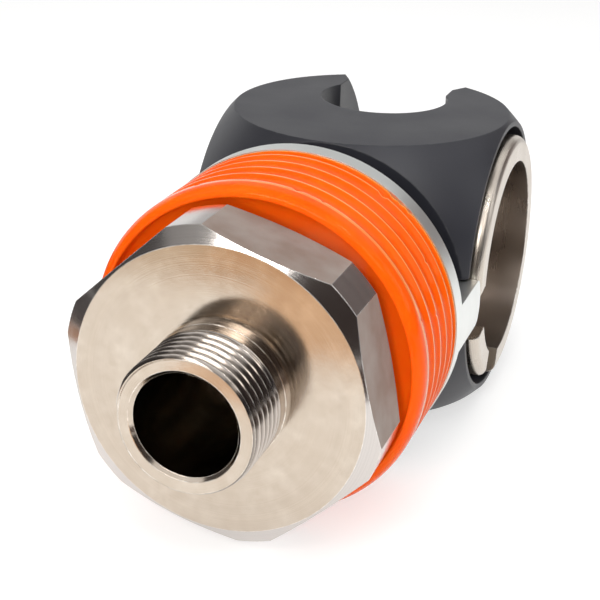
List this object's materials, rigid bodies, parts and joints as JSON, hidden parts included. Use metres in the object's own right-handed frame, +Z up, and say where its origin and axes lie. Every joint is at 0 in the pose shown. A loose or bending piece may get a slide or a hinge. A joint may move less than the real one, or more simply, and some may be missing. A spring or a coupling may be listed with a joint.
{
  "type": "tank swing coupler",
  "caption": "Fluid coupler with a hex threaded inlet, a ball-shaped housing, a swinging cross barrel that takes the tank plug, and a spring-loaded lock sleeve.",
  "frame": {"origin": "centre of the hex's front face, where the inlet stub starts, on the inlet axis", "axes": "+Y along the inlet axis from the stub to the ball, +X along the swing axis of the barrel, +Z up, through the entry hole"},
  "size_m": [0.0688, 0.1458, 0.0688],
  "materials": {
    "black_body": "black anodised, fine satin",
    "turned_steel": "fine turned stainless steel",
    "barrel_steel": "turned stainless steel",
    "inner_steel": "turned stainless steel",
    "sleeve_metal": "blasted, clear anodised",
    "orange_ring": "glossy orange",
    "spring_steel": "drawn wire",
    "clip_steel": "dark spring steel",
    "white_seal": "moulded white sealing plastic",
    "black_seal": "black sealing rubber",
    "bush_bronze": "sintered bearing bronze",
    "band_plastic": "filled bearing plastic"
  },
  "bodies": {
    "housing": {"ball_housing": "black_body", "inlet_adapter": "turned_steel", "adapter_gasket": "white_seal", "adapter_o_ring": "black_seal", "seat_springs": "spring_steel", "seat_carrier": "inner_steel", "seat_o_ring": "black_seal", "seat_ring": "white_seal", "bush_left": "bush_bronze", "bush_right": "bush_bronze", "thrust_washer_left": "white_seal", "thrust_washer_right": "white_seal", "stop_dowel": "spring_steel", "spring_stop": "clip_steel", "sleeve_spring": "spring_steel"},
    "sleeve": {"lock_sleeve": "sleeve_metal", "grip_ring": "orange_ring", "guide_band": "band_plastic", "sleeve_o_ring": "black_seal"},
    "barrel": {"barrel": "barrel_steel", "clip_left": "clip_steel", "clip_right": "clip_steel", "barrel_o_ring_left": "black_seal", "barrel_o_ring_right": "black_seal", "plug_seal": "black_seal", "seal_cage": "inner_steel"}
  },
  "joints": [
    {"name": "barrel_swing", "type": "hinge", "parent": "housing", "child": "barrel", "pos_m": [0, 0.0898, 0], "axis": [1, 0, 0], "range_deg": [-70.5, 0]},
    {"name": "sleeve_slide", "type": "slide", "parent": "housing", "child": "sleeve", "axis": [0, 1, 0], "range_m": [-0.004, 0], "stiffness_N_per_m": 2500, "springref_m": 0.01, "deforming": ["sleeve_spring"]}
  ]
}
